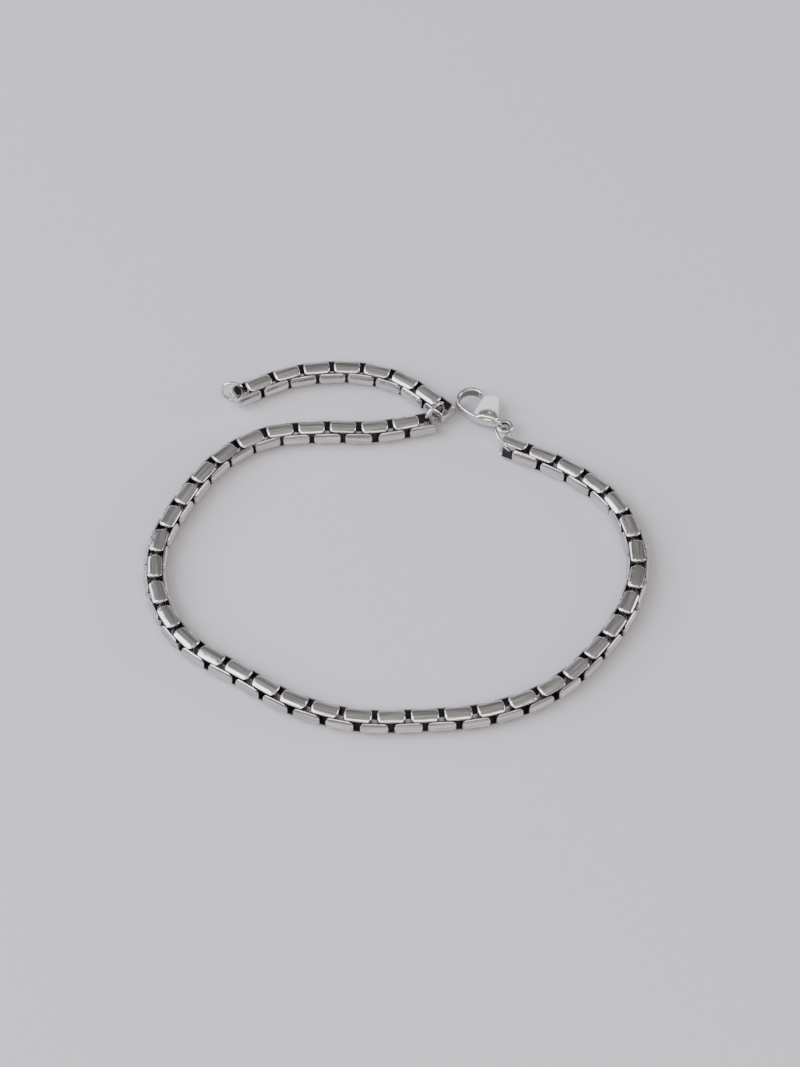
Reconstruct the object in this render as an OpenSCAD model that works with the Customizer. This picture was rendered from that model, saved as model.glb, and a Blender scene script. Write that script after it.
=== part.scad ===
// Chain bracelet lying flat: a round box chain with a lobster clasp and a short extension chain.
// Origin: on the surface it lies on, under the middle of the bracelet. X is across, Y is away, Z is up.

/* [Chain] */
// Outside diameter of the round chain
chain_d = 3.1; // [2.9:0.05:3.2]
// Distance from one link to the next
link_pitch = 2.14; // [2.12:0.01:2.16]
// Length of one link from end to end
link_len = 3.7; // [3.6:0.05:3.75]
// Wall thickness of a link's curved plates
plate_t = 0.38; // [0.3:0.02:0.44]
// Angle of the round section that one plate covers
plate_arc = 78; // [70:1:80]
// Thickness of the end bars, along the chain
bar_t = 0.55; // [0.45:0.05:0.6]
// Width of the end bars, across the plates
bar_w = 1.2; // [1:0.05:1.3]
// Rounding where a plate turns down to its end bar
end_r = 0.5; // [0.3:0.05:0.5]
// Radius of the bowed plate ends, seen from above
end_bow = 1.6; // [1.5:0.1:2.4]

/* [Rings] */
// Wire thickness of all the rings
ring_wire = 0.46; // [0.36:0.02:0.46]
// Middle radius of the ring from the clasp's eye to the first link
clasp_ring_r = 2.1; // [2.1:0.01:2.12]
// Middle radius of the ring that joins the two chains
junction_ring_r = 1.79; // [1.79:0.01:1.81]
// Middle radius of the ring at the free end
tail_ring_r = 1.45; // [1.44:0.01:1.47]

/* [Clasp] */
// Thickness of the clasp's cheeks
cheek_t = 2.4; // [2.2:0.1:2.6]
// Thickness of the hook
hook_t = 1.5; // [1.3:0.1:1.7]
// Outside radius of the hook
hook_r = 2.2; // [2.1:0.05:2.25]
// Width of the hook, seen from above
hook_w = 0.65; // [0.5:0.05:0.7]
// Middle radius of the eye
eye_r = 0.95; // [0.95:0.01:0.98]
// Wire thickness of the eye
eye_wire = 0.56; // [0.5:0.02:0.56]
// Thickness of the lever
lever_t = 1.1; // [0.9:0.05:1.15]
// Diameter of the lever's pin
pin_d = 0.6; // [0.5:0.05:0.65]
// Angle that the lever is opened by, 0 is closed
lever_open = 0; // [0:1:25]

/* [Hidden] */
$fn = 48;
chain_r = chain_d / 2;
side_gap = 0.1;
pin_gap = 0.04;
rivet_gap = 0.02;
curve_steps = 24;

// Joints of the main chain's route, from the clasp round to the junction
main_route = [[15, 16], [23.5, 11.5], [29.5, 5.5], [32, -3], [30.5, -11], [26, -18.5], [20, -24.5],
              [12, -28], [3.5, -29], [-5, -29], [-13, -26.5], [-20, -22], [-27, -17], [-31, -10],
              [-31.5, -1.5], [-28, 7], [-23.5, 13.5], [-17.5, 17.5], [-10, 18.5], [-3, 18.5], [4.5, 20]];
// Joints of the extension chain's route, from the junction to the free end
tail_route = [[6.8, 22], [1.7, 26.5], [-2.1, 28.3], [-6, 29.1], [-10.3, 29], [-14.5, 28.2],
              [-18.5, 26.4], [-21.5, 24.8]];
tail_links = 15;
twist_links = 3;

// A smooth curve through a route's points, and the lengths along it
function with_ends(p) = concat([2 * p[0] - p[1]], p, [2 * p[len(p) - 1] - p[len(p) - 2]]);
function spline(a, b, c, d, t) =
    b + ((c - a) * t + (2 * a - 5 * b + 4 * c - d) * t * t + (3 * b - a - 3 * c + d) * t * t * t) / 2;
function smooth(p) = let (q = with_ends(p))
    [for (i = [1 : len(q) - 3], k = [0 : curve_steps - (i < len(q) - 3 ? 1 : 0)])
        spline(q[i - 1], q[i], q[i + 1], q[i + 2], k / curve_steps)];
function lengths(c) =
    [for (i = 0, s = 0; i < len(c); s = s + (i + 1 < len(c) ? norm(c[i + 1] - c[i]) : 0), i = i + 1) s];

// The joints between n links spread evenly along a route
function joints(route, n) =
    let (c = smooth(route), s = lengths(c), total = s[len(s) - 1],
         xs = [for (i = [0 : len(c) - 1]) [s[i], c[i][0]]],
         ys = [for (i = [0 : len(c) - 1]) [s[i], c[i][1]]])
    [for (k = [0 : n]) [lookup(total * k / n, xs), lookup(total * k / n, ys)]];
function route_length(route) = let (s = lengths(smooth(route))) s[len(s) - 1];
main_links = 2 * round(route_length(main_route) / link_pitch / 2);

// One box link along X: curved plates above and below, and an upright bar at each end
module link_body() {
    straight = link_len / 2 - end_r;
    rotate([0, 90, 0]) rotate_extrude() union() {
        translate([0, -straight]) square([chain_r, 2 * straight]);
        translate([0, -link_len / 2]) square([chain_r - end_r, link_len]);
        for (end = [-1, 1]) intersection() {
            translate([chain_r - end_r, end * straight]) circle(end_r);
            translate([0, -link_len]) square(2 * link_len);
        }
    }
}

module link_plates() {
    low = chain_r / 3;
    high = 2 * chain_r;
    slope = tan(plate_arc / 2);
    difference() {
        for (side = [0, 180]) rotate([90, side, 90]) linear_extrude(2 * link_len, center = true)
            polygon([[-low * slope, low], [low * slope, low], [high * slope, high], [-high * slope, high]]);
        rotate([0, 90, 0]) cylinder(r = chain_r - plate_t, h = 3 * link_len, center = true);
    }
}

module link() {
    intersection() {
        link_body();
        linear_extrude(2 * chain_d, center = true)
            for (end = [-1, 1]) translate([end * (link_len / 2 - end_bow), 0]) circle(end_bow);
        union() {
            link_plates();
            for (end = [-1, 1]) translate([end * (link_len - bar_t) / 2, 0, 0])
                cube([bar_t, bar_w, chain_d], center = true);
        }
    }
}

// Links along a route, every second one rolled a quarter turn, the first few twisted by the ring they hold
module chain(route, n, first_roll, end_twist = 0) {
    j = joints(route, n);
    for (k = [0 : n - 1]) {
        step = j[k + 1] - j[k];
        middle = (j[k + 1] + j[k]) / 2;
        roll = first_roll + 90 * (k % 2) - end_twist * max(0, 1 - k / twist_links);
        translate([middle[0], middle[1], chain_r]) rotate([0, 0, atan2(step[1], step[0])])
            rotate([roll, 0, 0]) link();
    }
}

module main_chain() color("silver") chain(main_route, main_links, 0, 18);
module tail_chain() color("silver") chain(tail_route, tail_links, 90);

// A round wire ring: its centre, how far its axis leans from upright, and the way it leans
module ring(centre, lean, facing, r) {
    translate(centre) rotate([0, 0, facing]) rotate([0, lean, 0])
        rotate_extrude() translate([r, 0]) circle(d = ring_wire);
}

module clasp_ring() color("silver") ring([14.85, 17.08, 2.1], 52.5, 12.5, clasp_ring_r);
module junction_ring() color("silver") ring([5.3, 21.34, 2.02], 93.8, -44.6, junction_ring_r);
module tail_end_ring() color("silver") ring([-22.34, 25.57, 1.74], 99.5, 89.5, tail_ring_r);

// The clasp's own frame: the eye's centre is the origin, -X runs to the hook, +Y to the lever's thumb tab
clasp_at = [14.85, 19.4, 1.6];
clasp_turn = -43.8;
hook_at = [-6.25, 0.05];
hook_tip = 80;
back_at = [-5.5, 4.95];
back_r = 7.15;
back_w = 0.5;
cheek_at = [-2.45, -0.85];
cheek_r = 1.55;
pin_at = [-2.6, -0.1];
hub_r = 0.65;
heel_r = 1.25;
module place_clasp() translate(clasp_at) rotate([0, 0, clasp_turn]) children();
module at_pin() translate([pin_at[0], pin_at[1], 0]) children();

// A flat shape of the clasp, spread evenly about its middle plane
module slab(t) linear_extrude(t, center = true) children();

// The hook's arc, open towards the lever, with a round tip
module hook() {
    reach = 3 * hook_r;
    translate(hook_at) {
        difference() {
            circle(hook_r);
            circle(hook_r - hook_w);
            polygon([[0, 0], reach * [cos(hook_tip), sin(hook_tip)], [reach, reach], [reach, -reach],
                     reach * [cos(hook_tip), -sin(hook_tip)]]);
        }
        translate((hook_r - hook_w / 2) * [cos(hook_tip), sin(hook_tip)]) circle(d = hook_w);
    }
}

module back_disc(inset) translate(back_at) circle(back_r - inset, $fn = 96);

// The curved back that joins the hook to the eye
module back() {
    intersection() {
        difference() {
            back_disc(0);
            back_disc(back_w);
        }
        translate([hook_at[0], -4]) square([5.6, 4.2]);
    }
}

module cheeks() {
    intersection() {
        translate(cheek_at) circle(cheek_r);
        back_disc(0);
    }
}

// Room for the lever between the cheeks
module lever_room() {
    intersection() {
        back_disc(back_w);
        union() {
            translate([-5, -3]) square([3, 6]);
            translate(pin_at) circle(heel_r);
        }
    }
}

module clasp_body() color("silver") place_clasp() {
    difference() {
        union() {
            slab(hook_t) hook();
            slab(hook_t) back();
            slab(cheek_t) cheeks();
            slab(hook_t) polygon([[-2.2, 0.4], [-0.7, 0.7], [-0.5, -0.9], [-2.2, -1.2]]);
            rotate_extrude() translate([eye_r, 0]) circle(d = eye_wire);
        }
        slab(lever_t + 2 * side_gap) lever_room();
        cylinder(r = eye_r - eye_wire / 2, h = 2 * cheek_t, center = true);
        at_pin() cylinder(d = pin_d + 2 * rivet_gap, h = 2 * cheek_t, center = true);
    }
}

module lever_pin() color("silver") place_clasp() at_pin() cylinder(d = pin_d, h = cheek_t, center = true);

// The lever: its gate closes the hook, its tab stands out for the thumb, its heel turns on the pin
module lever_shape() {
    slab(lever_t) circle(hub_r);
    slab(lever_t) translate([-pin_at[0], -pin_at[1]])
        polygon([[-5.5, 1.75], [-5.35, 2.15], [-4.35, 2.95], [-3.85, 3], [-2.5, 1.5], [-1.6, 0.35],
                 [-2.1, -0.3], [-3.4, -1.2], [-4.5, -1.45]]);
}

module clasp_lever() color("gainsboro") place_clasp() at_pin() rotate([0, 0, -lever_open]) difference() {
    lever_shape();
    cylinder(d = pin_d + 2 * pin_gap, h = 2 * lever_t, center = true);
}

main_chain();
tail_chain();
clasp_body();
clasp_lever();
lever_pin();
clasp_ring();
junction_ring();
tail_end_ring();
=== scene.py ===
import math
import bmesh
import bpy
from mathutils import Euler, Matrix, Vector


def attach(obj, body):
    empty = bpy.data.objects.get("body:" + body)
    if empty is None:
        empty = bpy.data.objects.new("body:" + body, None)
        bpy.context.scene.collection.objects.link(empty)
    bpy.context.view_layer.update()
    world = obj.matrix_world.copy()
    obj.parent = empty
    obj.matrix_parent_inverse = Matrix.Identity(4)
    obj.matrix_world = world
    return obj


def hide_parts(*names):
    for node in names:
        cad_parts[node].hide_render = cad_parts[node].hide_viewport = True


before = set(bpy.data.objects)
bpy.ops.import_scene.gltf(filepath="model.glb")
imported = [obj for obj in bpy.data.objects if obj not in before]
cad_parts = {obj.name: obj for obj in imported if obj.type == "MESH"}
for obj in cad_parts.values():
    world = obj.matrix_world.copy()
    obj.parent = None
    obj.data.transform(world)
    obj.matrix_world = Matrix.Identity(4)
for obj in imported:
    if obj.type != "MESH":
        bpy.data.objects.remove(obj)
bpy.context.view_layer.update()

mm = 0.001
print("frame loaded:", len(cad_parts), "nodes")


def linearColour(hexText):  # sRGB hex to the linear values that Blender's sockets take
    parts = [int(hexText[i:i + 2], 16) / 255 for i in (1, 3, 5)]
    return tuple(p / 12.92 if p <= 0.04045 else ((p + 0.055) / 1.055) ** 2.4 for p in parts) + (1.0,)


def fade(value, start, end):  # 0 up to the start, 1 from the end on
    return max(0.0, min(1.0, (value - start) / (end - start)))


def addNode(tree, kind, inputs=None, **settings):  # one node, with its settings, values and links
    node = tree.nodes.new(kind)
    for name, value in settings.items():
        setattr(node, name, value)
    for key, value in (inputs or {}).items():
        if isinstance(value, bpy.types.NodeSocket):
            tree.links.new(value, node.inputs[key])
        else:
            node.inputs[key].default_value = value
    return node


def maths(tree, operation, *values):
    return addNode(tree, "ShaderNodeMath", dict(enumerate(values)), operation=operation).outputs[0]


def scaled(tree, vector, scale):
    return addNode(tree, "ShaderNodeVectorMath", {0: vector, "Scale": scale}, operation="SCALE").outputs[0]


def remapped(tree, value, given, wanted=(0.0, 1.0)):  # from one range to another, and kept inside it
    return addNode(tree, "ShaderNodeMapRange", {"Value": value, "From Min": given[0], "From Max": given[1],
                                                "To Min": wanted[0], "To Max": wanted[1]}).outputs[0]


def mixed(tree, share, first, second):  # a colour between two others
    return addNode(tree, "ShaderNodeMix", {0: share, 6: first, 7: second}, data_type="RGBA").outputs[2]


def emptyTree(owner):  # the node tree of a material or a world, with nothing in it
    owner.use_nodes = True
    owner.node_tree.nodes.clear()
    return owner.node_tree


def meshObject(name, mesh):
    piece = bpy.data.objects.new(name, mesh)
    bpy.context.scene.collection.objects.link(piece)
    return piece


def asMesh(name, form):
    mesh = bpy.data.meshes.new(name)
    form.to_mesh(mesh)
    form.free()
    return mesh


def joinLoops(loops, closed=True):  # rings of points joined by quads, last to first or with end caps
    form = bmesh.new()
    rows = [[form.verts.new(point) for point in loop] for loop in loops]
    count = len(rows[0])
    for a, b in zip(rows, rows[1:] + (rows[:1] if closed else [])):
        for k in range(count):
            form.faces.new((a[k], a[(k + 1) % count], b[(k + 1) % count], b[k]))
    if not closed:
        form.faces.new(rows[0])
        form.faces.new(rows[-1])
    bmesh.ops.recalc_face_normals(form, faces=form.faces)
    return form


def settled(source):  # the evaluated shape of an object as a plain mesh, and the object removed
    graph = bpy.context.evaluated_depsgraph_get()
    mesh = bpy.data.meshes.new_from_object(source.evaluated_get(graph))
    bpy.data.objects.remove(source)
    return mesh


def finishPiece(name, mesh, material, body, node):
    mesh.name = name
    mesh.materials.clear()
    mesh.materials.append(material)
    mesh.polygons.foreach_set("material_index", [0] * len(mesh.polygons))
    mesh.polygons.foreach_set("use_smooth", [True] * len(mesh.polygons))
    mesh.update()
    piece = meshObject(name, mesh)
    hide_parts(node)
    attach(piece, body)
    print(name, "triangles:", sum(len(face.vertices) - 2 for face in mesh.polygons))


def aimAt(item, place, target):  # a camera or a light, put in the scene
    item.location = place
    item.rotation_euler = (Vector(target) - Vector(place)).to_track_quat("-Z", "Y").to_euler()
    bpy.context.scene.collection.objects.link(item)


photoView = {
    "eye": (0.6, -298.35, 391.9),  # mm
    "target": (0.6, 2.35, 0.0),  # mm
    "focalPixels": 3700,  # focal length in pixels of the 800 x 1067 frame
    "framePixels": 1067,
    "sensor": 36.0,  # mm
    "clip": (0.01, 20.0),  # m
}


def makeCamera(view):
    data = bpy.data.cameras.new("photoCamera")
    data.sensor_fit = "VERTICAL"
    data.sensor_height = view["sensor"]
    data.lens = view["sensor"] * view["focalPixels"] / view["framePixels"]
    data.clip_start, data.clip_end = view["clip"]
    camera = bpy.data.objects.new("photoCamera", data)
    aimAt(camera, Vector(view["eye"]) * mm, Vector(view["target"]) * mm)
    bpy.context.scene.camera = camera


makeCamera(photoView)
print("camera placed")


finish = {  # what all the steels share
    "noiseRange": (0.3, 0.7),  # most of a noise texture's values lie in it
    "lineDetail": 3.0,
    "lineRoughness": 0.6,
    "lineHeight": 0.025,  # mm
    "wobbleDetail": 1.0,
    "wobbleHeight": 0.05,  # mm
    "cutEdge": 0.5,  # the mark of a matt cut edge, between 0 for polished and 1 for an inside darkened with painted shade
    "linkShift": (37.0, 11.0, 53.0),  # so that no two links share their marks
}


def steel(name, look):
    material = bpy.data.materials.new(name)
    tree = emptyTree(material)
    if "linkTones" in look:  # the marks run along each link, wherever it lies
        tone = addNode(tree, "ShaderNodeAttribute", attribute_name="linkTone").outputs["Fac"]
        place = addNode(tree, "ShaderNodeAttribute", attribute_name="linkPlace").outputs["Vector"]
        shift = scaled(tree, finish["linkShift"], tone)
        place = addNode(tree, "ShaderNodeVectorMath", {0: place, 1: shift}, operation="ADD").outputs[0]
    else:
        place = scaled(tree, addNode(tree, "ShaderNodeTexCoord").outputs["Object"], 1 / mm)
    lines = addNode(tree, "ShaderNodeVectorMath", {0: place, 1: look["lineStretch"]}, operation="MULTIPLY")
    polish = addNode(tree, "ShaderNodeTexNoise", {
        "Vector": lines.outputs[0], "Scale": look["linesPerMm"],
        "Detail": finish["lineDetail"], "Roughness": finish["lineRoughness"]}).outputs["Fac"]
    wobble = addNode(tree, "ShaderNodeTexNoise", {
        "Vector": place, "Scale": look["wobblePerMm"], "Detail": finish["wobbleDetail"]}).outputs["Fac"]
    grade = remapped(tree, polish, finish["noiseRange"])
    roughness = remapped(tree, grade, (0.0, 1.0), look["roughness"])
    colour = mixed(tree, grade, linearColour(look["colour"][0]), linearColour(look["colour"][1]))
    if "linkTones" in look:  # some links are a little darker than others
        colour = scaled(tree, colour, remapped(tree, tone, (0.0, 1.0), look["linkTones"]))
    if "shadeAndMattMarks" in look:  # matt and darker on the insides: the matt finish is the steel's own, the darkening is painted shade
        inner = addNode(tree, "ShaderNodeAttribute", attribute_name=look["shadeAndMattMarks"]).outputs["Fac"]
        dark = remapped(tree, inner, (finish["cutEdge"], 1.0))
        colour = mixed(tree, dark, colour, linearColour(look["paintedShadeColour"]))
        matt = remapped(tree, inner, (0.0, finish["cutEdge"]), (0.0, look["innerRoughness"]))
        roughness = maths(tree, "MAXIMUM", roughness, matt)
    soft = addNode(tree, "ShaderNodeBump", {
        "Strength": look["wobble"], "Distance": finish["wobbleHeight"] * mm, "Height": wobble})
    fine = addNode(tree, "ShaderNodeBump", {
        "Strength": look["lineDepth"], "Distance": finish["lineHeight"] * mm, "Height": polish,
        "Normal": soft.outputs[0]})
    shader = addNode(tree, "ShaderNodeBsdfPrincipled", {
        "Base Color": colour, "Metallic": 1.0, "Roughness": roughness, "Normal": fine.outputs[0]})
    addNode(tree, "ShaderNodeOutputMaterial", {"Surface": shader.outputs[0]})
    return material


# Stamped stainless strip, tumbled bright: mirror-like plates with lengthwise lines, insides matt and darkened
# with painted shade
chainSteel = steel("tumbledStainlessSteel", {
    "colour": ("#aea8a6", "#f0ebe9"), "roughness": (0.08, 0.2), "linkTones": (0.88, 1.06),
    "shadeAndMattMarks": "linkShadeAndMatt", "paintedShadeColour": "#66625f", "innerRoughness": 0.4,
    "lineStretch": (0.05, 1.0, 1.0),
    "linesPerMm": 3.6,  # real lines are finer than a pixel, so these are drawn coarser
    "lineDepth": 1.0, "wobblePerMm": 0.9, "wobble": 0.4,
})
# Drawn stainless wire, polished after bending: clean round gloss with faint unevenness
ringSteel = steel("drawnStainlessWire", {
    "colour": ("#d4d1cf", "#e9e6e4"), "roughness": (0.06, 0.16),
    "lineStretch": (1.0, 1.0, 1.0), "linesPerMm": 6.0, "lineDepth": 0.1, "wobblePerMm": 1.5, "wobble": 0.1,
})
# Investment cast stainless steel, hand polished: soft rolling gloss, matt and darkened with painted shade
# inside the hook, slot and eye and underneath
claspSteel = steel("polishedCastSteel", {
    "colour": ("#cbc9c8", "#ebe9e7"), "roughness": (0.07, 0.16),
    "shadeAndMattMarks": "castShadeAndMatt", "paintedShadeColour": "#5c5551", "innerRoughness": 0.45,
    "lineStretch": (1.0, 1.0, 1.0), "linesPerMm": 4.0, "lineDepth": 0.1, "wobblePerMm": 0.8, "wobble": 0.3,
})
# Cast lever with a satin face from a polishing belt: broad and even shine; its near-white colour is painted
# light, paler than the body's steel
leverSteel = steel("satinCastSteel", {
    "colour": ("#faf8f5", "#fffefc"), "roughness": (0.8, 0.9),
    "lineStretch": (1.0, 0.1, 1.0), "linesPerMm": 12.0, "lineDepth": 0.3, "wobblePerMm": 0.8, "wobble": 0.15,
})


linkForm = {  # mm; the plates are sectors of a round tube, joined by an upright bar at each end
    "length": 3.74,
    "outerR": 1.55,
    "plateThick": 0.38,
    "flatInside": 0.98,  # from the axis to the plates' flat insides
    "plateArc": 81.0,  # degrees
    "barThick": 0.55,
    "barWide": 1.2,
    "cornerR": 0.45,  # the fold from plate to bar
    "sideCornerR": 0.25,  # the fold's least radius, at the sides of the strip
    "innerCornerR": 0.12,
    "endBow": 2.9,  # radius of the plates' ends, seen from above
    "edgeRound": 0.08,
    "narrowing": (0.1, 1.0),  # the part of the fold's turn over which the strip narrows to the bar
}
linkMarks = {  # shares of the thickness over which the marks fade in, from outside to inside: a matt finish, then painted shade
    "matt": (0.0, 0.3),
    # painted shade inside the link
    "dark": (0.55, 0.8),
    "barLight": 0.22,  # the painted shade is lighter on the bars' insides, where a little light reaches
}


def stripSection(halfWide, form):  # (across, depth) round the strip, outside first
    r, thick = form["edgeRound"], form["plateThick"]
    flat = halfWide - r

    def corner(degrees):
        return r * math.sin(math.radians(degrees)), r * math.cos(math.radians(degrees))

    half = [(flat * share, 0.0) for share in (0.0, 0.35, 0.7, 1.0)]
    half += [(flat + s, r - c) for s, c in map(corner, (30, 60, 90))]
    half += [(flat + c, thick - r + s) for s, c in map(corner, (0, 30, 60))]
    half += [(flat * share, thick) for share in (1.0, 0.5, 0.0)]
    return half + [(-across, depth) for across, depth in half[-2:0:-1]]


def linkStations():  # (along, end, up, top, turn): where each section of the bent strip sits
    straight = [(share, 0.0, 1.0, 1.0, 0.0) for share in (-1.0, -0.6, -0.2, 0.2, 0.6, 1.0)]
    turns = [(math.sin(math.radians(a)), math.cos(math.radians(a)), a / 90) for a in (15, 35, 55, 75)]
    fold = [(1.0, s, 1.0, c, t) for s, c, t in turns]
    bar = [(1.0, 1.0, 1.0, 0.0, 1.0), (1.0, 1.0, 0.0, 0.0, 1.0), (1.0, 1.0, -1.0, 0.0, 1.0)]
    lowerFold = [(1.0, s, -1.0, -c, t) for s, c, t in reversed(turns)]
    first = straight + fold + bar + lowerFold
    # the second half is the first one turned about the middle
    return first + [(-along, -end, -up, -top, turn) for along, end, up, top, turn in first]


def linkPoint(station, across, depth, form):  # a point of a section, bent into the link
    along, end, up, top = station[:4]
    share = depth / form["plateThick"]
    height = math.sqrt(form["outerR"] ** 2 - across ** 2)  # round outside, flat inside
    height += (form["flatInside"] - height) * share
    inset = form["endBow"] - math.sqrt(form["endBow"] ** 2 - across ** 2)
    outerCorner = max(form["sideCornerR"], form["cornerR"] - inset)  # the fold starts on a straight line
    corner = outerCorner + (min(form["innerCornerR"], outerCorner) - outerCorner) * share
    reach = form["length"] / 2 - inset - share * form["barThick"]
    return along * (reach - corner) + end * corner, across, up * (height - corner) + top * corner


def linkMesh(form, marks):
    halfPlate = form["outerR"] * math.sin(math.radians(form["plateArc"] / 2))
    loops, inner = [], []
    for station in linkStations():
        ease = fade(station[4], *form["narrowing"])
        halfWide = halfPlate + (form["barWide"] / 2 - halfPlate) * ease * ease * (3 - 2 * ease)
        section = stripSection(halfWide, form)
        loops.append([linkPoint(station, across, depth, form) for across, depth in section])
        # painted shade on the insides, lighter on the bars, after a matt mark on the cut edges
        deep = 1 - finish["cutEdge"] - marks["barLight"] * ease
        for _, depth in section:
            share = depth / form["plateThick"]
            inner.append(finish["cutEdge"] * fade(share, *marks["matt"]) + deep * fade(share, *marks["dark"]))
    mesh = asMesh("linkForm", joinLoops(loops))
    place = mesh.attributes.new("linkPlace", "FLOAT_VECTOR", "POINT")
    place.data.foreach_set("vector", [value for loop in loops for point in loop for value in point])
    # carries the matt mark and the painted shade to the steel
    mesh.attributes.new("linkShadeAndMatt", "FLOAT", "POINT").data.foreach_set("value", inner)
    mesh.polygons.foreach_set("use_smooth", [True] * len(mesh.polygons))
    mesh.transform(Matrix.Scale(mm, 4))
    return mesh


# Both routes repeat the joints of part.scad, in mm
mainRoute = [(15, 16), (23.5, 11.5), (29.5, 5.5), (32, -3), (30.5, -11), (26, -18.5), (20, -24.5),
             (12, -28), (3.5, -29), (-5, -29), (-13, -26.5), (-20, -22), (-27, -17), (-31, -10),
             (-31.5, -1.5), (-28, 7), (-23.5, 13.5), (-17.5, 17.5), (-10, 18.5), (-3, 18.5), (4.5, 20)]
tailRoute = [(6.8, 22), (1.7, 26.5), (-2.1, 28.3), (-6, 29.1), (-10.3, 29), (-14.5, 28.2),
             (-18.5, 26.4), (-21.5, 24.8)]


def smoothRoute(route, steps):  # a Catmull-Rom curve through the route's points
    points = [Vector(p) for p in route]
    points = [2 * points[0] - points[1]] + points + [2 * points[-1] - points[-2]]
    curve = []
    for i in range(1, len(points) - 2):
        a, b, c, d = points[i - 1:i + 3]
        for k in range(steps):
            t = k / steps
            curve.append(b + ((c - a) * t + (2 * a - 5 * b + 4 * c - d) * t * t
                              + (3 * b - a - 3 * c + d) * t * t * t) / 2)
    return curve + [points[-2]]


def spreadJoints(route, links, steps=24):  # joints spread evenly along the smooth route
    curve = smoothRoute(route, steps)
    runs = [0.0]
    for a, b in zip(curve, curve[1:]):
        runs.append(runs[-1] + (b - a).length)
    joints, i = [], 0
    for k in range(links + 1):
        goal = runs[-1] * k / links
        while i < len(curve) - 2 and runs[i + 1] < goal:
            i += 1
        joints.append(curve[i].lerp(curve[i + 1], (goal - runs[i]) / (runs[i + 1] - runs[i])))
    return joints


def startTree(name, inputs, output):  # a geometry tree with named inputs, and their identifiers
    tree = bpy.data.node_groups.new(name, "GeometryNodeTree")
    sockets = {}
    for label, kind in inputs.items():
        socket = tree.interface.new_socket(label, in_out="INPUT", socket_type="NodeSocket" + kind)
        sockets[label] = socket.identifier
    tree.interface.new_socket(output, in_out="OUTPUT", socket_type="NodeSocketGeometry")
    return tree, sockets, addNode(tree, "NodeGroupInput").outputs


def endTree(tree, geometry, given, output):  # plain geometry in its steel
    plain = addNode(tree, "GeometryNodeRealizeInstances", {"Geometry": geometry})
    coated = addNode(tree, "GeometryNodeSetMaterial",
                     {"Geometry": plain.outputs[0], "Material": given["Steel"]})
    addNode(tree, "NodeGroupOutput", {output: coated.outputs[0]})


def grow(tree, sockets, mesh, values):  # run a tree on a mesh and keep the result as a plain mesh
    source = meshObject("source", mesh)
    modifier = source.modifiers.new("grow", "NODES")
    modifier.node_group = tree
    for name, value in values.items():
        modifier[sockets[name]] = value
    result = settled(source)
    bpy.data.meshes.remove(mesh)
    return result


def chainTree():  # a link on the middle of every edge of a route, each rolled a quarter turn from the last
    tree, sockets, given = startTree("chainLinks", {
        "Route": "Geometry", "Link": "Object", "First Roll": "Float", "End Twist": "Float",
        "Twisted Links": "Float", "Play": "Float", "Tone Seed": "Int", "Steel": "Material"}, "Chain")
    ends = addNode(tree, "GeometryNodeInputMeshEdgeVertices").outputs
    along = addNode(tree, "ShaderNodeVectorMath", {0: ends["Position 2"], 1: ends["Position 1"]},
                    operation="SUBTRACT")
    marked = addNode(tree, "GeometryNodeStoreNamedAttribute",
                     {"Geometry": given["Route"], "Name": "along", "Value": along.outputs[0]},
                     data_type="FLOAT_VECTOR", domain="EDGE")
    middles = addNode(tree, "GeometryNodeMeshToPoints", {"Mesh": marked.outputs[0]}, mode="EDGES")
    heading = addNode(tree, "GeometryNodeInputNamedAttribute", {"Name": "along"}, data_type="FLOAT_VECTOR")
    facing = addNode(tree, "FunctionNodeAlignRotationToVector", {"Vector": heading.outputs[0]},
                     axis="X", pivot_axis="Z")
    index = addNode(tree, "GeometryNodeInputIndex").outputs[0]
    quarters = maths(tree, "MULTIPLY_ADD", maths(tree, "MODULO", index, 2.0), 90.0, given["First Roll"])
    left = maths(tree, "SUBTRACT", 1.0, maths(tree, "DIVIDE", index, given["Twisted Links"]))
    twist = maths(tree, "MULTIPLY", maths(tree, "MAXIMUM", left, 0.0), given["End Twist"])
    least = maths(tree, "MULTIPLY", given["Play"], -1.0)
    play = addNode(tree, "FunctionNodeRandomValue",
                   {2: least, 3: given["Play"], "Seed": given["Tone Seed"]}, data_type="FLOAT")
    roll = maths(tree, "SUBTRACT", maths(tree, "ADD", quarters, play.outputs[1]), twist)
    turned = addNode(tree, "FunctionNodeAxisAngleToRotation",
                     {"Axis": (1.0, 0.0, 0.0), "Angle": maths(tree, "RADIANS", roll)})
    rotation = addNode(tree, "FunctionNodeRotateRotation", {0: facing.outputs[0], 1: turned.outputs[0]},
                       rotation_space="LOCAL")
    link = addNode(tree, "GeometryNodeObjectInfo", {"Object": given["Link"]}, transform_space="ORIGINAL")
    copies = addNode(tree, "GeometryNodeInstanceOnPoints", {
        "Points": middles.outputs[0], "Instance": link.outputs["Geometry"], "Rotation": rotation.outputs[0]})
    tone = addNode(tree, "FunctionNodeRandomValue", {"Seed": given["Tone Seed"]}, data_type="FLOAT")
    toned = addNode(tree, "GeometryNodeStoreNamedAttribute",
                    {"Geometry": copies.outputs[0], "Name": "linkTone", "Value": tone.outputs[1]},
                    data_type="FLOAT", domain="INSTANCE")
    endTree(tree, toned.outputs[0], given, "Chain")
    return tree, sockets


chains = {  # angles in degrees
    "mainChain": {"route": mainRoute, "links": 78, "node": "main_chain",
                  "firstRoll": 0.0, "endTwist": 18.0, "twistedLinks": 3.0, "play": 1.6, "seed": 3},
    "tailChain": {"route": tailRoute, "links": 15, "node": "tail_chain",
                  "firstRoll": 90.0, "endTwist": 0.0, "twistedLinks": 3.0, "play": 1.6, "seed": 8},
}


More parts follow.
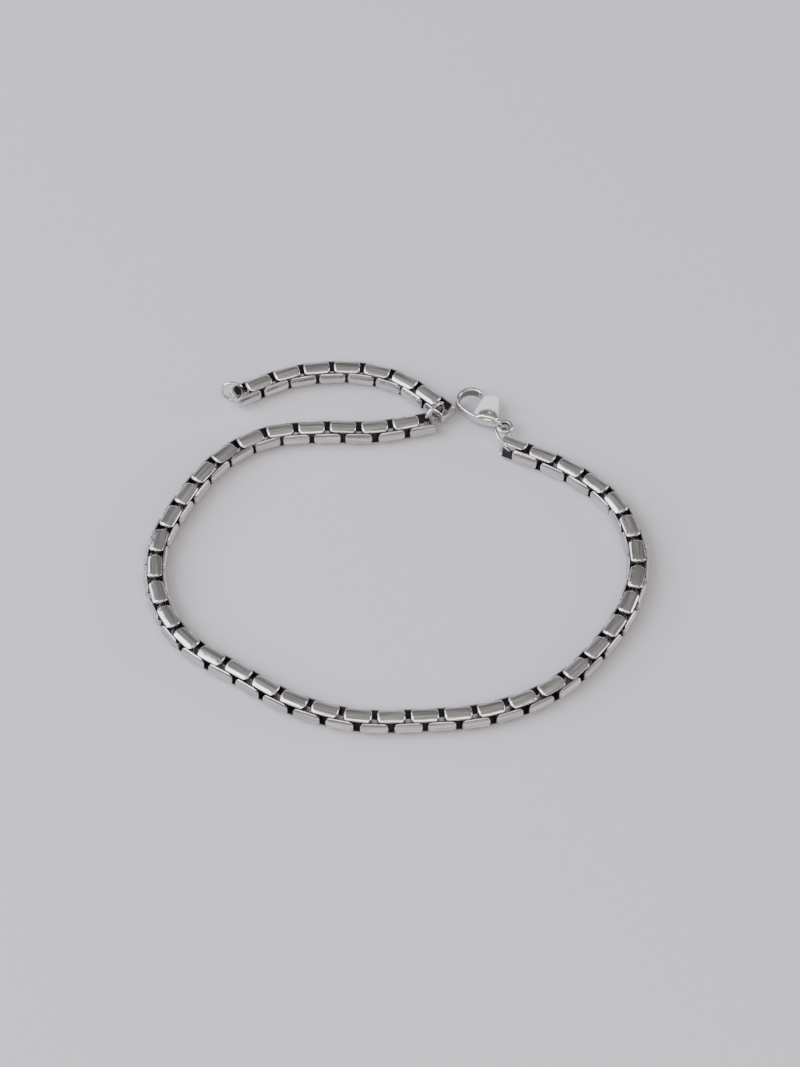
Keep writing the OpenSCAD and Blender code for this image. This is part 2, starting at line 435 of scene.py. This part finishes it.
def makeChains():
    tree, sockets = chainTree()
    link = meshObject("oneLink", linkMesh(linkForm, linkMarks))
    for name, chain in chains.items():
        joints = spreadJoints(chain["route"], chain["links"])
        mesh = bpy.data.meshes.new("route")
        mesh.from_pydata([(p.x * mm, p.y * mm, linkForm["outerR"] * mm) for p in joints],
                         [(k, k + 1) for k in range(chain["links"])], [])
        grown = grow(tree, sockets, mesh, {
            "Link": link, "First Roll": chain["firstRoll"], "End Twist": chain["endTwist"],
            "Twisted Links": chain["twistedLinks"], "Play": chain["play"], "Tone Seed": chain["seed"],
            "Steel": chainSteel})
        finishPiece(name, grown, chainSteel, "bracelet", chain["node"])
    bpy.data.objects.remove(link)


makeChains()
print("chains linked")


rings = {  # mm and degrees: the way each ring's axis leans from upright, and where its seam is
    "claspRing": {"centre": (14.85, 17.08, 2.1), "lean": 52.5, "facing": 12.5, "radius": 2.1,
                  "cutAt": 200.0, "node": "clasp_ring"},
    "junctionRing": {"centre": (5.3, 21.34, 2.02), "lean": 93.8, "facing": -44.6, "radius": 1.79,
                     "cutAt": 100.0, "node": "junction_ring"},
    "tailEndRing": {"centre": (-22.34, 25.57, 1.74), "lean": 99.5, "facing": 89.5, "radius": 1.45,
                    "cutAt": 60.0, "node": "tail_end_ring"},
}
ringWire = {  # mm
    "thick": 0.46,
    "cut": 0.03,  # the closed seam where the wire's ends meet
    "stepsRound": 97,
    "sides": 24,
}


def ringTree():  # wire bent round to a closed seam
    tree, sockets, given = startTree("wireRing", {
        "Start": "Geometry", "Radius": "Float", "Wire": "Float", "Cut": "Float", "Cut At": "Float",
        "Steel": "Material"}, "Ring")
    gap = maths(tree, "DIVIDE", given["Cut"], given["Radius"])
    arc = addNode(tree, "GeometryNodeCurveArc", {
        "Resolution": ringWire["stepsRound"], "Radius": given["Radius"], "Start Angle": given["Cut At"],
        "Sweep Angle": maths(tree, "SUBTRACT", 2 * math.pi, gap)}, mode="RADIUS")
    wire = addNode(tree, "GeometryNodeCurvePrimitiveCircle", {
        "Resolution": ringWire["sides"], "Radius": maths(tree, "MULTIPLY", given["Wire"], 0.5)})
    swept = addNode(tree, "GeometryNodeCurveToMesh", {
        "Curve": arc.outputs[0], "Profile Curve": wire.outputs[0], "Fill Caps": True})
    endTree(tree, swept.outputs[0], given, "Ring")
    return tree, sockets


def makeRings():
    tree, sockets = ringTree()
    for name, ring in rings.items():
        grown = grow(tree, sockets, bpy.data.meshes.new("start"), {
            "Radius": ring["radius"] * mm, "Wire": ringWire["thick"] * mm, "Cut": ringWire["cut"] * mm,
            "Cut At": math.radians(ring["cutAt"]), "Steel": ringSteel})
        lean = Euler((0, math.radians(ring["lean"]), math.radians(ring["facing"]))).to_matrix().to_4x4()
        grown.transform(Matrix.Translation(Vector(ring["centre"]) * mm) @ lean)
        finishPiece(name, grown, ringSteel, "bracelet", ring["node"])


makeRings()
print("rings closed")


clasp = {  # mm, in the clasp's own frame: the eye is the origin, -X runs to the hook, +Y to the thumb tab
    "at": (14.85, 19.4, 1.6),
    "turn": -43.8,  # degrees
    "hookAt": (-6.25, 0.05),
    "hookMiddleR": 1.875,
    "hookWide": 0.7,
    "hookArc": (71.5, 262.0),  # degrees, from its tip to the back
    "hookSteps": 46,
    "tipShares": (0.25, 0.6, 0.82, 0.94),  # the first steps' widths, so that the tip is round
    "tipHigh": 0.55,
    "bandHigh": 1.5,
    "backAt": (-5.5, 4.95),
    "backR": 7.15,
    "backWide": 0.56,
    "backX": (-6.2, -0.95),
    "backSteps": 34,
    "bandWide": 0.62,  # the band's width on the back
    "widthSteps": (32.2, 46.2),  # the steps over which the band takes that width
    "cheekAt": (-2.55, -0.76),
    "cheekR": 1.72,
    "cheekMiddle": (-2.45, -0.55),
    "cheekEdge": 0.4,
    "cheekCrown": 1.2,
    "cheekRim": 0.16,
    "neckPath": ((-2.3, -0.42), (-1.7, -0.36), (-1.2, -0.22), (-0.9, -0.12)),
    "neckWide": (1.6, 1.5, 1.35, 1.15),
    "neckHalfHigh": (0.75, 0.72, 0.6, 0.42),
    "pinAt": (-2.6, -0.1),
    "pinR": 0.3,
    "pinPlay": 0.04,
    "slotX": (-5.2, -1.36),
    "slotSteps": 24,
    "slotHalf": 0.65,
    "slotMouth": ((-5.2, 3.2), (-1.98, 3.2)),
    "heelR": 1.25,
    "heelArc": (-5.0, 60.0),  # degrees
    "heelSteps": 14,
    "eyeR": 0.87,
    "eyeWireR": 0.35,
    "voxel": 0.045,
    "relax": 6,
}
claspPlace = (Matrix.Translation(Vector(clasp["at"]) * mm)
              @ Matrix.Rotation(math.radians(clasp["turn"]), 4, "Z") @ Matrix.Scale(mm, 4))


def roundBand(path, widths, halfHigh, power=2.4, sides=32):  # a band along a flat path, with soft edges
    loops = []
    for i, point in enumerate(path):
        ahead = (path[min(i + 1, len(path) - 1)] - path[max(i - 1, 0)]).normalized()
        across = Vector((-ahead.y, ahead.x))
        loop = []
        for k in range(sides):
            angle = 2 * math.pi * k / sides
            c, s = math.cos(angle), math.sin(angle)
            size = (abs(c) ** power + abs(s) ** power) ** (-1 / power)
            spot = point + across * (widths[i] / 2 * size * c)
            loop.append((spot.x, spot.y, halfHigh[i] * size * s))
        loops.append(loop)
    return joinLoops(loops, closed=False)


def pillow(outline, middle, edge, crown, rim, rows=9, shrink=0.985):  # a slab, swollen to a crown
    middle = Vector(middle)
    steps = [(0.0, edge - rim, 0.0), (0.3 * rim, edge - 0.3 * rim, 0.0), (rim, edge, 0.0)]
    steps += [(rim, edge, (k + 1) / rows) for k in range(rows)]
    loops = []
    for side in (-1, 1):
        half = []
        for inset, height, share in steps:
            keep = 1 - shrink * share
            if share:
                height += (crown - edge) * math.sqrt(max(0.0, 1 - keep * keep))
            outs = [Vector(point) - middle for point in outline]
            spots = [middle + out * keep * max(0.0, 1 - inset / out.length) for out in outs]
            half.append([(spot.x, spot.y, side * height) for spot in spots])
        loops += half if side > 0 else half[::-1]
    return joinLoops(loops, closed=False)


def prism(outline, halfHigh):
    return joinLoops([[(x, y, z) for x, y in outline] for z in (-halfHigh, halfHigh)], closed=False)


def ringForm(radius, wire, turns=64, sides=24):
    section = [2 * math.pi * k / sides for k in range(sides)]
    loops = []
    for i in range(turns):
        a = 2 * math.pi * i / turns
        reaches = [(radius + wire * math.cos(b), wire * math.sin(b)) for b in section]
        loops.append([(reach * math.cos(a), reach * math.sin(a), z) for reach, z in reaches])
    return joinLoops(loops)


def arcPoints(centre, radius, start, end, count):
    angles = [math.radians(start + (end - start) * k / (count - 1)) for k in range(count)]
    return [Vector((centre[0] + radius * math.cos(a), centre[1] + radius * math.sin(a))) for a in angles]


def circlePoints(centre, radius, sides):
    return arcPoints(centre, radius, 0, 360 - 360 / sides, sides)


def cutBy(form, cutters):  # one closed form less others
    source = meshObject("cutForm", asMesh("cutForm", form))
    tools = [meshObject("cutter", asMesh("cutter", cutter)) for cutter in cutters]
    for tool in tools:
        cut = source.modifiers.new("cut", "BOOLEAN")
        cut.operation, cut.solver, cut.object = "DIFFERENCE", "EXACT", tool
    mesh = settled(source)
    for tool in tools:
        bpy.data.objects.remove(tool)
    result = bmesh.new()
    result.from_mesh(mesh)
    bpy.data.meshes.remove(mesh)
    return result


def cast(forms, voxel, relax, share=0.5):  # forms melted into one skin with small fillets, as a casting has
    whole = bmesh.new()
    for form in forms:
        mesh = asMesh("part", form)
        whole.from_mesh(mesh)
        bpy.data.meshes.remove(mesh)
    source = meshObject("casting", asMesh("casting", whole))
    skin = source.modifiers.new("skin", "REMESH")
    skin.mode, skin.voxel_size = "VOXEL", voxel
    ease = source.modifiers.new("ease", "SMOOTH")
    ease.factor, ease.iterations = share, relax
    return settled(source)


def backCurve(inset, start, end, count):  # the curve of the clasp's back, by the x of its ends
    radius = clasp["backR"] - inset
    cx, cy = clasp["backAt"]
    xs = [start + (end - start) * k / (count - 1) for k in range(count)]
    return [Vector((x, cy - math.sqrt(radius * radius - (x - cx) ** 2))) for x in xs]


def bandForm():  # the hook and the curved back in one, from the hook's tip to the eye
    hook = arcPoints(clasp["hookAt"], clasp["hookMiddleR"], *clasp["hookArc"], clasp["hookSteps"])
    path = hook + backCurve(clasp["backWide"] / 2, *clasp["backX"], clasp["backSteps"])
    tapers = list(clasp["tipShares"]) + [1.0] * (len(path) - len(clasp["tipShares"]))
    widths, highs = [], []
    for i, taper in enumerate(tapers):
        wide = clasp["hookWide"] + (clasp["bandWide"] - clasp["hookWide"]) * fade(i, *clasp["widthSteps"])
        widths.append(wide * taper)
        highs.append(clasp["bandHigh"] / 2 * (clasp["tipHigh"] + (1 - clasp["tipHigh"]) * taper))
    return roundBand(path, widths, highs)


def cheekOutline(sides=72):  # a round plate, cut off by the curve of the back
    middle = Vector(clasp["cheekMiddle"])
    outline = []
    for k in range(sides):
        angle = 2 * math.pi * k / sides
        ray = Vector((math.cos(angle), math.sin(angle)))
        reach = []
        for centre, radius in ((clasp["cheekAt"], clasp["cheekR"]), (clasp["backAt"], clasp["backR"])):
            gap = middle - Vector(centre)
            along = gap.dot(ray)
            reach.append(-along + math.sqrt(along * along - gap.length_squared + radius * radius))
        outline.append(middle + ray * min(reach))
    return outline


def leverRoom():  # the slot between the cheeks
    left, right = [Vector(point) for point in clasp["slotMouth"]]
    heel = arcPoints(clasp["pinAt"], clasp["heelR"], *clasp["heelArc"], clasp["heelSteps"])
    outline = [left] + backCurve(clasp["backWide"], *clasp["slotX"], clasp["slotSteps"]) + heel + [right]
    return prism(outline, clasp["slotHalf"])


def pinHole(sides=36, halfHigh=2.0):  # higher than the clasp
    return prism(circlePoints(clasp["pinAt"], clasp["pinR"] + clasp["pinPlay"], sides), halfHigh)


# Each mark is its share times its fades, which run from their first value to their second, in mm or degrees
# painted shade inside the hook, the lever slot and the eye hole, and a painted dark edge underneath; each is
# also matt
castShadeMarkTable = {
    "hook": (0.85, (("hookR", 1.855, 1.615), ("hookTurn", 81.5, 97.5), ("x", -3.9, -4.5),
                    ("off", 0.76, 0.5))),
    "slot": (1.0, (("backR", 6.85, 6.65), ("off", 0.77, 0.65), ("x", -1.2, -1.5), ("x", -4.8, -4.3))),
    "eye": (1.0, (("eyeR", 0.77, 0.62),)),
    "under": (1.0, (("z", -0.1, -0.6), ("x", -5.4, -4.2))),
    "underEye": (1.0, (("z", -0.35, -0.6), ("x", -0.6, -1.0))),
}


def castShadeAndMatt(point):  # how much painted shade and matt finish a place gets
    x, y, z = point
    hookX, hookY = x - clasp["hookAt"][0], y - clasp["hookAt"][1]
    measures = {
        "x": x, "z": z, "off": abs(z),
        "hookR": math.hypot(hookX, hookY),
        "hookTurn": math.degrees(math.atan2(hookY, hookX)) % 360,
        "backR": math.hypot(x - clasp["backAt"][0], y - clasp["backAt"][1]),
        "eyeR": math.hypot(x, y),
    }
    return max(share * math.prod(fade(measures[name], start, end) for name, start, end in fades)
               for share, fades in castShadeMarkTable.values())


def claspMesh():
    cheeks = pillow(cheekOutline(), clasp["cheekMiddle"], clasp["cheekEdge"], clasp["cheekCrown"],
                    clasp["cheekRim"])
    neck = roundBand([Vector(point) for point in clasp["neckPath"]], clasp["neckWide"], clasp["neckHalfHigh"])
    mesh = cast([bandForm(), cutBy(cheeks, [leverRoom(), pinHole()]), cutBy(neck, [leverRoom()]),
                 ringForm(clasp["eyeR"], clasp["eyeWireR"])], clasp["voxel"], clasp["relax"])
    # painted shade and a matt finish inside the hook, slot and eye and under the clasp
    marks = mesh.attributes.new("castShadeAndMatt", "FLOAT", "POINT")
    marks.data.foreach_set("value", [castShadeAndMatt(point.co) for point in mesh.vertices])
    return mesh


claspBody = claspMesh()
claspBody.transform(claspPlace)
finishPiece("claspBody", claspBody, claspSteel, "bracelet", "clasp_body")

lever = {  # mm, in the clasp's frame
    "outline": [(-5.5, 1.75), (-5.35, 2.15), (-4.35, 2.95), (-3.85, 3.0), (-2.5, 1.5), (-1.6, 0.35),
                (-2.1, -0.3), (-3.4, -1.2), (-4.5, -1.45)],
    "middle": (-3.6, 0.9),
    "halfThick": 0.55,
    "edgeHalf": 0.51,
    "rim": 0.14,
    "hubR": 0.65,
    "hubHalf": 0.53,
    "hubSides": 45,
    "voxel": 0.04,
    "relax": 4,
}


def rounded(outline, times=3, share=0.12):  # corners cut again and again until they are round
    points = [Vector(p) for p in outline]
    for _ in range(times):
        points = [spot for a, b in zip(points, points[1:] + points[:1])
                  for spot in (a.lerp(b, share), a.lerp(b, 1 - share))]
    return points


def leverMesh():
    face = pillow(rounded(lever["outline"]), lever["middle"], lever["edgeHalf"], lever["halfThick"],
                  lever["rim"])
    hub = prism(circlePoints(clasp["pinAt"], lever["hubR"], lever["hubSides"]), lever["hubHalf"])
    return cast([cutBy(face, [pinHole()]), cutBy(hub, [pinHole()])], lever["voxel"], lever["relax"])


leverShape = leverMesh()
leverShape.transform(claspPlace)
finishPiece("claspLever", leverShape, leverSteel, "lever", "clasp_lever")

pin = {  # mm; the rivet's ends are slightly domed
    "halfLong": 1.14,
    "sides": 45,
    "dome": ((0.02, 0.0), (0.5, 0.02), (0.85, 0.06), (1.0, 0.11)),  # shares of the radius, and drops
}


def pinMesh():
    end = [(share, pin["halfLong"] - drop) for share, drop in pin["dome"]]
    rows = end + [(share, -height) for share, height in reversed(end)]
    loops = [[(p.x, p.y, height) for p in circlePoints(clasp["pinAt"], clasp["pinR"] * share, pin["sides"])]
             for share, height in rows]
    return asMesh("rivet", joinLoops(loops, closed=False))


rivet = pinMesh()
rivet.transform(claspPlace)
finishPiece("leverPin", rivet, claspSteel, "bracelet", "lever_pin")
print("clasp built")


studio = {
    "floorColour": "#d6d2d8",
    "floorRoughness": 0.85,
    "floorShine": 0.2,
    "floorHalf": 1.5,  # m
    "grainPerMetre": 900.0,
    "grainDetail": 4.0,
    "grainHeight": 0.2,  # mm
    "grainStrength": 0.08,
    "front": (0.0, -0.61, 0.79),  # the sky is brightest that way, and dark low at the back
    "sky": ((0.0, 0.56), (0.3, 0.56), (0.4, 0.2), (0.63, 0.35), (0.8, 0.44), (0.93, 0.52), (1.0, 0.6)),
    "skyColour": (1.0, 1.0, 1.02),
    "lights": {  # place and size in m, power in W
        "leftWindow": {"at": (-0.79, -0.15, 0.68), "size": (0.9, 0.9), "power": 13.5, "colour": "#e8f0ff"},
        "leftStrip": {"at": (-0.75, 0.5, 0.42), "size": (0.5, 0.22), "power": 1.8, "colour": "#e4edff"},
        "rightWindow": {"at": (1.0, 0.1, 0.34), "size": (0.5, 0.3), "power": 3.2, "colour": "#f6f8ff"},
        "overCamera": {"at": (0.0, -0.6, 0.76), "size": (1.1, 0.26), "power": 3.9, "colour": "#fff5e4"},
    },
}


def makeFloor():
    half = studio["floorHalf"]
    mesh = bpy.data.meshes.new("floor")
    corners = [(-half, -half, 0), (half, -half, 0), (half, half, 0), (-half, half, 0)]
    mesh.from_pydata(corners, [], [(0, 1, 2, 3)])
    material = bpy.data.materials.new("paleStoneFloor")  # honed pale stone: matt and even
    tree = emptyTree(material)
    place = addNode(tree, "ShaderNodeTexCoord").outputs["Object"]
    grain = addNode(tree, "ShaderNodeTexNoise", {
        "Vector": place, "Scale": studio["grainPerMetre"], "Detail": studio["grainDetail"]})
    bump = addNode(tree, "ShaderNodeBump", {
        "Strength": studio["grainStrength"], "Distance": studio["grainHeight"] * mm,
        "Height": grain.outputs["Fac"]})
    shader = addNode(tree, "ShaderNodeBsdfPrincipled", {
        "Base Color": linearColour(studio["floorColour"]), "Roughness": studio["floorRoughness"],
        "Specular IOR Level": studio["floorShine"], "Normal": bump.outputs[0]})
    addNode(tree, "ShaderNodeOutputMaterial", {"Surface": shader.outputs[0]})
    mesh.materials.append(material)
    floor = meshObject("floor", mesh)


def makeLights():
    for name, light in studio["lights"].items():
        data = bpy.data.lights.new(name, "AREA")
        data.shape, (data.size, data.size_y), data.energy = "RECTANGLE", light["size"], light["power"]
        data.color = linearColour(light["colour"])[:3]
        aimAt(bpy.data.objects.new(name, data), light["at"], (0.0, 0.0, 0.0))


def makeSky():  # bright towards the front, so that the steel has something to mirror
    world = bpy.data.worlds.new("studioSky")
    tree = emptyTree(world)
    ray = addNode(tree, "ShaderNodeTexCoord").outputs["Generated"]
    facing = addNode(tree, "ShaderNodeVectorMath", {0: ray, 1: studio["front"]}, operation="DOT_PRODUCT")
    share = maths(tree, "MULTIPLY_ADD", facing.outputs["Value"], 0.5, 0.5)
    ramp = addNode(tree, "ShaderNodeValToRGB", {"Fac": share})
    stops = ramp.color_ramp.elements
    while len(stops) < len(studio["sky"]):
        stops.new(0.5)
    for stop, (position, level) in zip(stops, studio["sky"]):
        stop.position = position
        stop.color = tuple(level * c for c in studio["skyColour"]) + (1.0,)
    sky = addNode(tree, "ShaderNodeBackground", {"Color": ramp.outputs["Color"]})
    addNode(tree, "ShaderNodeOutputWorld", {"Surface": sky.outputs[0]})
    bpy.context.scene.world = world


makeFloor()
makeLights()
makeSky()
print("studio lit")
